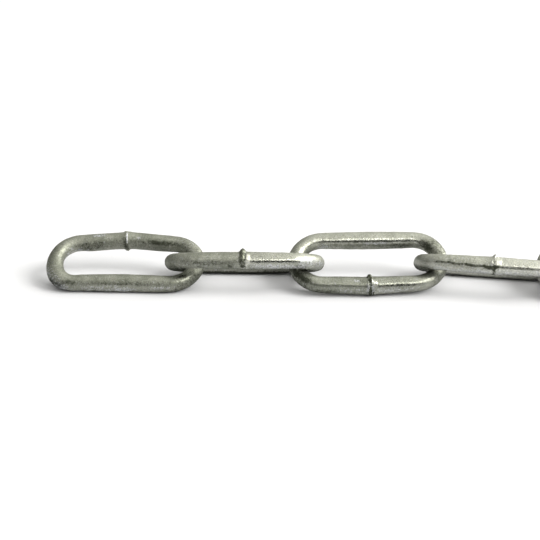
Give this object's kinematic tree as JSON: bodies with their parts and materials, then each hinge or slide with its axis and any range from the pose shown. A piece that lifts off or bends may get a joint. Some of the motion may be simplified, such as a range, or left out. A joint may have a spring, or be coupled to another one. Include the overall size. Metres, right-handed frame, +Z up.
{
  "type": "welded steel chain",
  "caption": "Length of hot-dip galvanised long-link steel chain, lying straight with its oval links leaning left and right in turn.",
  "frame": {"origin": "centre of the bounding box, on the floor that the chain lies on", "axes": "+X along the chain, from the end that the picture shows; +Z up from the floor"},
  "size_m": [0.9888, 0.0368, 0.0161],
  "materials": {
    "galvanised_steel": "hot-dip galvanised, dull speckled grey with brighter worn spots"
  },
  "bodies": {
    "link_01": {"link_01": "galvanised_steel"},
    "link_02": {"link_02": "galvanised_steel"},
    "link_03": {"link_03": "galvanised_steel"},
    "link_04": {"link_04": "galvanised_steel"},
    "link_05": {"link_05": "galvanised_steel"},
    "link_06": {"link_06": "galvanised_steel"},
    "link_07": {"link_07": "galvanised_steel"},
    "link_08": {"link_08": "galvanised_steel"},
    "link_09": {"link_09": "galvanised_steel"},
    "link_10": {"link_10": "galvanised_steel"},
    "link_11": {"link_11": "galvanised_steel"},
    "link_12": {"link_12": "galvanised_steel"},
    "link_13": {"link_13": "galvanised_steel"},
    "link_14": {"link_14": "galvanised_steel"},
    "link_15": {"link_15": "galvanised_steel"},
    "link_16": {"link_16": "galvanised_steel"},
    "link_17": {"link_17": "galvanised_steel"},
    "link_18": {"link_18": "galvanised_steel"},
    "link_19": {"link_19": "galvanised_steel"},
    "link_20": {"link_20": "galvanised_steel"},
    "link_21": {"link_21": "galvanised_steel"},
    "link_22": {"link_22": "galvanised_steel"},
    "link_23": {"link_23": "galvanised_steel"},
    "link_24": {"link_24": "galvanised_steel"}
  },
  "joints": [
    {"name": "swing_02", "type": "hinge", "parent": "link_01", "child": "link_02", "pos_m": [-0.44373, 0.00436, 0.00659], "axis": [0.0163, 0.6762, 0.7366], "range_deg": [-90, 90]},
    {"name": "swing_03", "type": "hinge", "parent": "link_02", "child": "link_03", "pos_m": [-0.40367, 0.00335, 0.00743], "axis": [0.0046, -0.6433, 0.7656], "range_deg": [-90, 90]},
    {"name": "swing_04", "type": "hinge", "parent": "link_03", "child": "link_04", "pos_m": [-0.36252, 0.00425, 0.00788], "axis": [-0.0404, -0.651, -0.758], "range_deg": [-90, 90]},
    {"name": "swing_05", "type": "hinge", "parent": "link_04", "child": "link_05", "pos_m": [-0.32191, -0.00277, 0.00727], "axis": [0.0359, 0.667, -0.7442], "range_deg": [-90, 90]},
    {"name": "swing_06", "type": "hinge", "parent": "link_05", "child": "link_06", "pos_m": [-0.28193, -0.00002, 0.00754], "axis": [-0.0261, 0.661, 0.7499], "range_deg": [-90, 90]},
    {"name": "swing_07", "type": "hinge", "parent": "link_06", "child": "link_07", "pos_m": [-0.24073, 0.00113, 0.00753], "axis": [0.0092, -0.6576, 0.7533], "range_deg": [-90, 90]},
    {"name": "swing_08", "type": "hinge", "parent": "link_07", "child": "link_08", "pos_m": [-0.19936, 0.00099, 0.00759], "axis": [-0.0086, -0.6584, -0.7526], "range_deg": [-90, 90]},
    {"name": "swing_09", "type": "hinge", "parent": "link_08", "child": "link_09", "pos_m": [-0.15955, -0.00007, 0.00855], "axis": [0.0218, 0.6601, -0.7508], "range_deg": [-90, 90]},
    {"name": "swing_10", "type": "hinge", "parent": "link_09", "child": "link_10", "pos_m": [-0.11968, -0.00178, 0.00751], "axis": [0.0325, 0.6505, 0.7588], "range_deg": [-90, 90]},
    {"name": "swing_11", "type": "hinge", "parent": "link_10", "child": "link_11", "pos_m": [-0.07949, -0.0042, 0.00844], "axis": [-0.0327, -0.665, 0.7461], "range_deg": [-90, 90]},
    {"name": "swing_12", "type": "hinge", "parent": "link_11", "child": "link_12", "pos_m": [-0.03822, -0.00578, 0.00846], "axis": [-0.0228, -0.6564, -0.7541], "range_deg": [-90, 90]},
    {"name": "swing_13", "type": "hinge", "parent": "link_12", "child": "link_13", "pos_m": [0.00191, -0.00694, 0.00752], "axis": [0.009, 0.6526, -0.7577], "range_deg": [-90, 90]},
    {"name": "swing_14", "type": "hinge", "parent": "link_13", "child": "link_14", "pos_m": [0.04227, -0.00674, 0.00809], "axis": [-0.011, 0.6616, 0.7497], "range_deg": [-90, 90]},
    {"name": "swing_15", "type": "hinge", "parent": "link_14", "child": "link_15", "pos_m": [0.08299, -0.00538, 0.00754], "axis": [0.024, -0.6513, 0.7585], "range_deg": [-90, 90]},
    {"name": "swing_16", "type": "hinge", "parent": "link_15", "child": "link_16", "pos_m": [0.12446, -0.00356, 0.00744], "axis": [0.0306, -0.6609, -0.7499], "range_deg": [-90, 90]},
    {"name": "swing_17", "type": "hinge", "parent": "link_16", "child": "link_17", "pos_m": [0.16514, -0.00153, 0.00804], "axis": [-0.0307, 0.6524, -0.7572], "range_deg": [-90, 90]},
    {"name": "swing_18", "type": "hinge", "parent": "link_17", "child": "link_18", "pos_m": [0.20572, 0.00026, 0.00738], "axis": [-0.0249, 0.6597, 0.7511], "range_deg": [-90, 90]},
    {"name": "swing_19", "type": "hinge", "parent": "link_18", "child": "link_19", "pos_m": [0.24601, 0.00146, 0.0082], "axis": [0.0087, -0.6635, 0.7482], "range_deg": [-90, 90]},
    {"name": "swing_20", "type": "hinge", "parent": "link_19", "child": "link_20", "pos_m": [0.28739, 0.00117, 0.00844], "axis": [-0.0097, -0.6494, -0.7604], "range_deg": [-90, 90]},
    {"name": "swing_21", "type": "hinge", "parent": "link_20", "child": "link_21", "pos_m": [0.32815, 0.00006, 0.00798], "axis": [0.0233, 0.6588, -0.7519], "range_deg": [-90, 90]},
    {"name": "swing_22", "type": "hinge", "parent": "link_21", "child": "link_22", "pos_m": [0.36913, -0.00186, 0.00755], "axis": [0.0321, 0.6557, 0.7543], "range_deg": [-90, 90]},
    {"name": "swing_23", "type": "hinge", "parent": "link_22", "child": "link_23", "pos_m": [0.40975, -0.00403, 0.00805], "axis": [-0.0325, -0.6604, 0.7502], "range_deg": [-90, 90]},
    {"name": "swing_24", "type": "hinge", "parent": "link_23", "child": "link_24", "pos_m": [0.4503, -0.00586, 0.00749], "axis": [-0.0248, -0.659, -0.7518], "range_deg": [-90, 90]}
  ]
}
